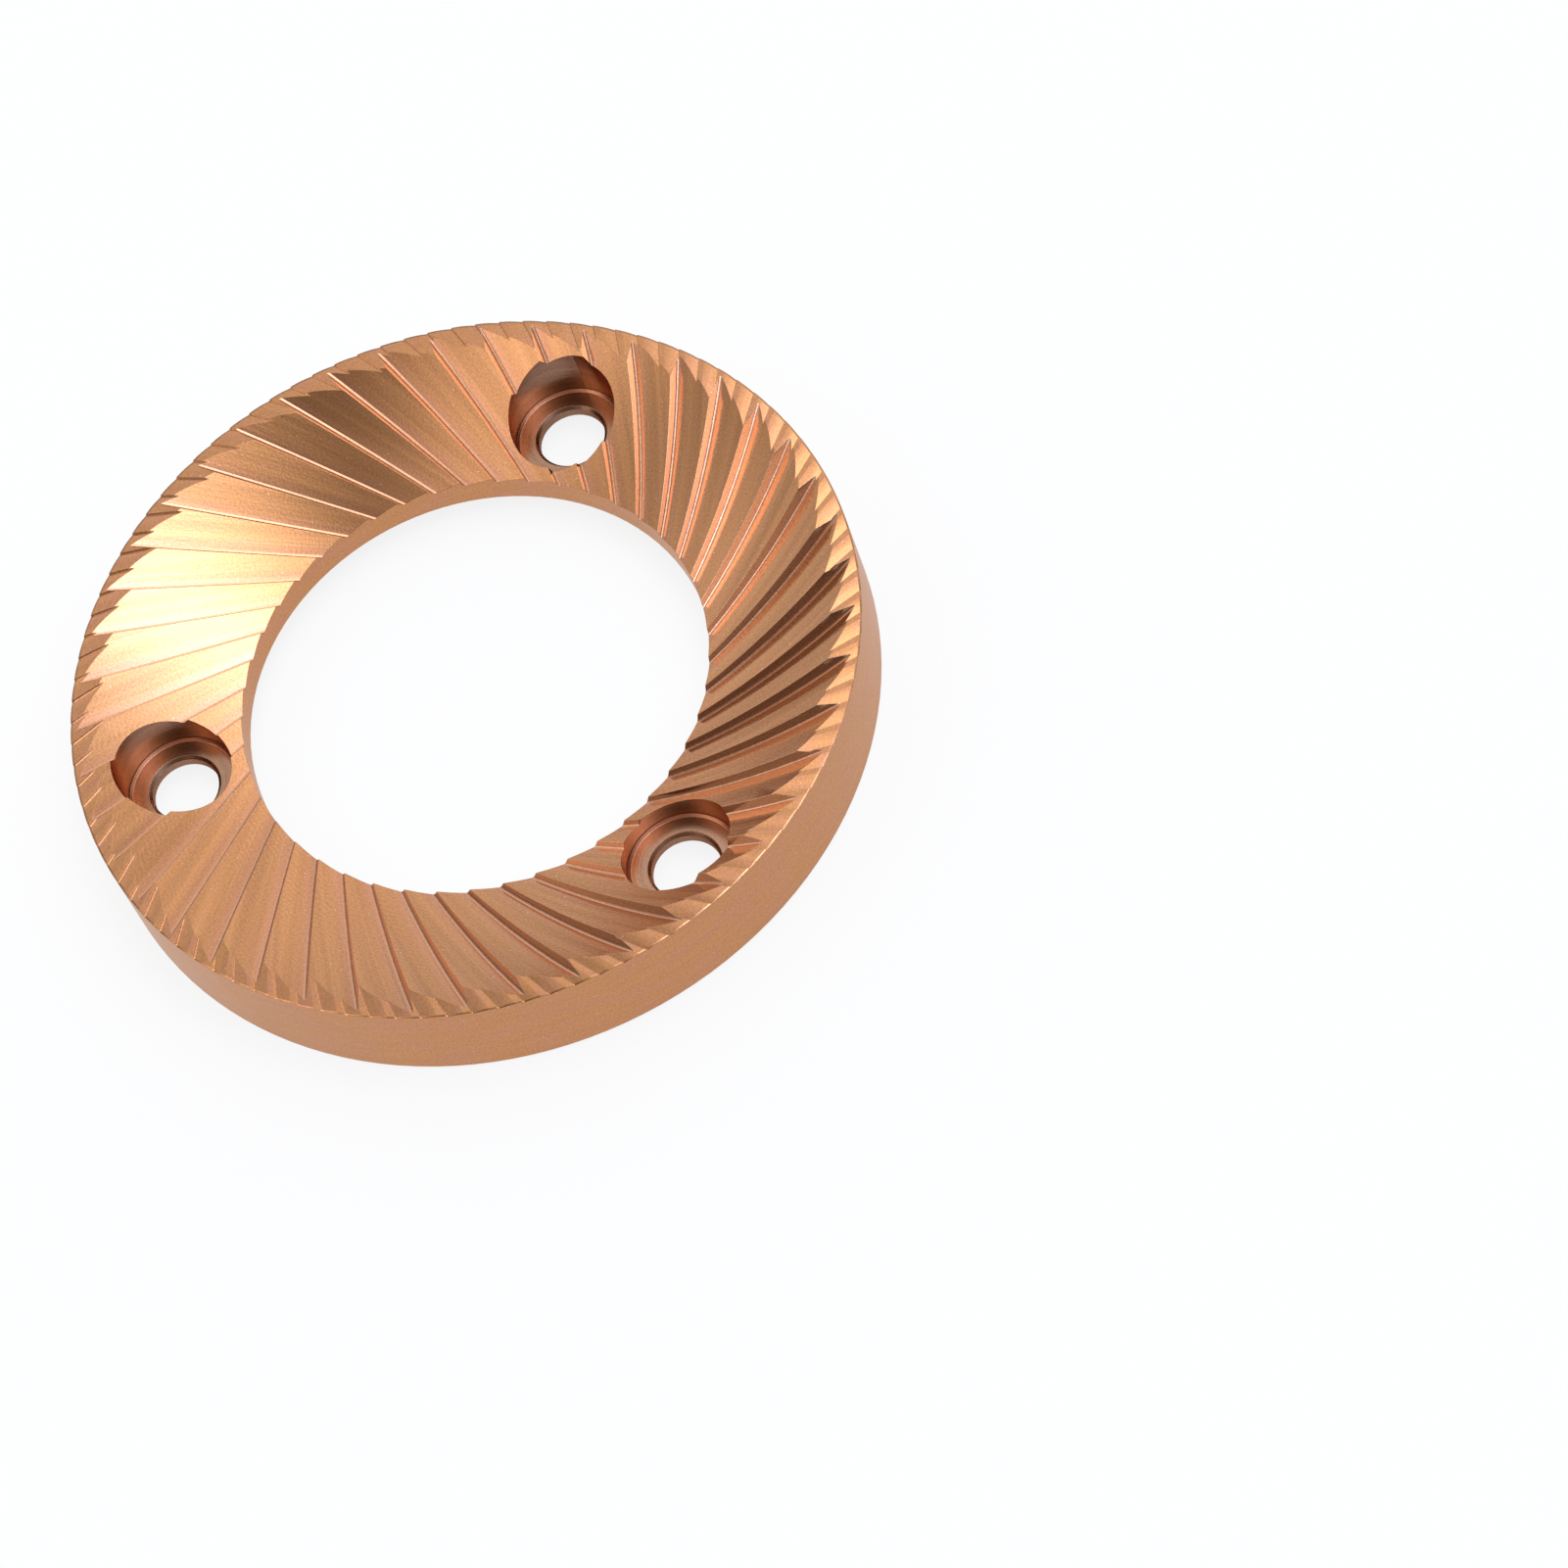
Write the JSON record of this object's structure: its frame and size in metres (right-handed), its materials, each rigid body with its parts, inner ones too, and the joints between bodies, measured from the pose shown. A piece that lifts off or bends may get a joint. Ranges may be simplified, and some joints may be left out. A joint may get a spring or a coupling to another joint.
{
  "type": "coffee grinder burr",
  "caption": "Flat ring-shaped coffee grinder burr with swept cutting teeth, fine finishing teeth at the rim, a central bore, counterbored screw holes and a recessed back.",
  "frame": {"origin": "centre of the back, on the plane of the lip the burr lies on", "axes": "+Z is the burr's axis and points out of the toothed face; +X points at the first screw hole"},
  "size_m": [0.064, 0.064, 0.0082],
  "materials": {
    "coated_steel": "satin copper-bronze hard coating over hardened steel"
  },
  "bodies": {
    "root": {"burr": "coated_steel"}
  },
  "joints": []
}
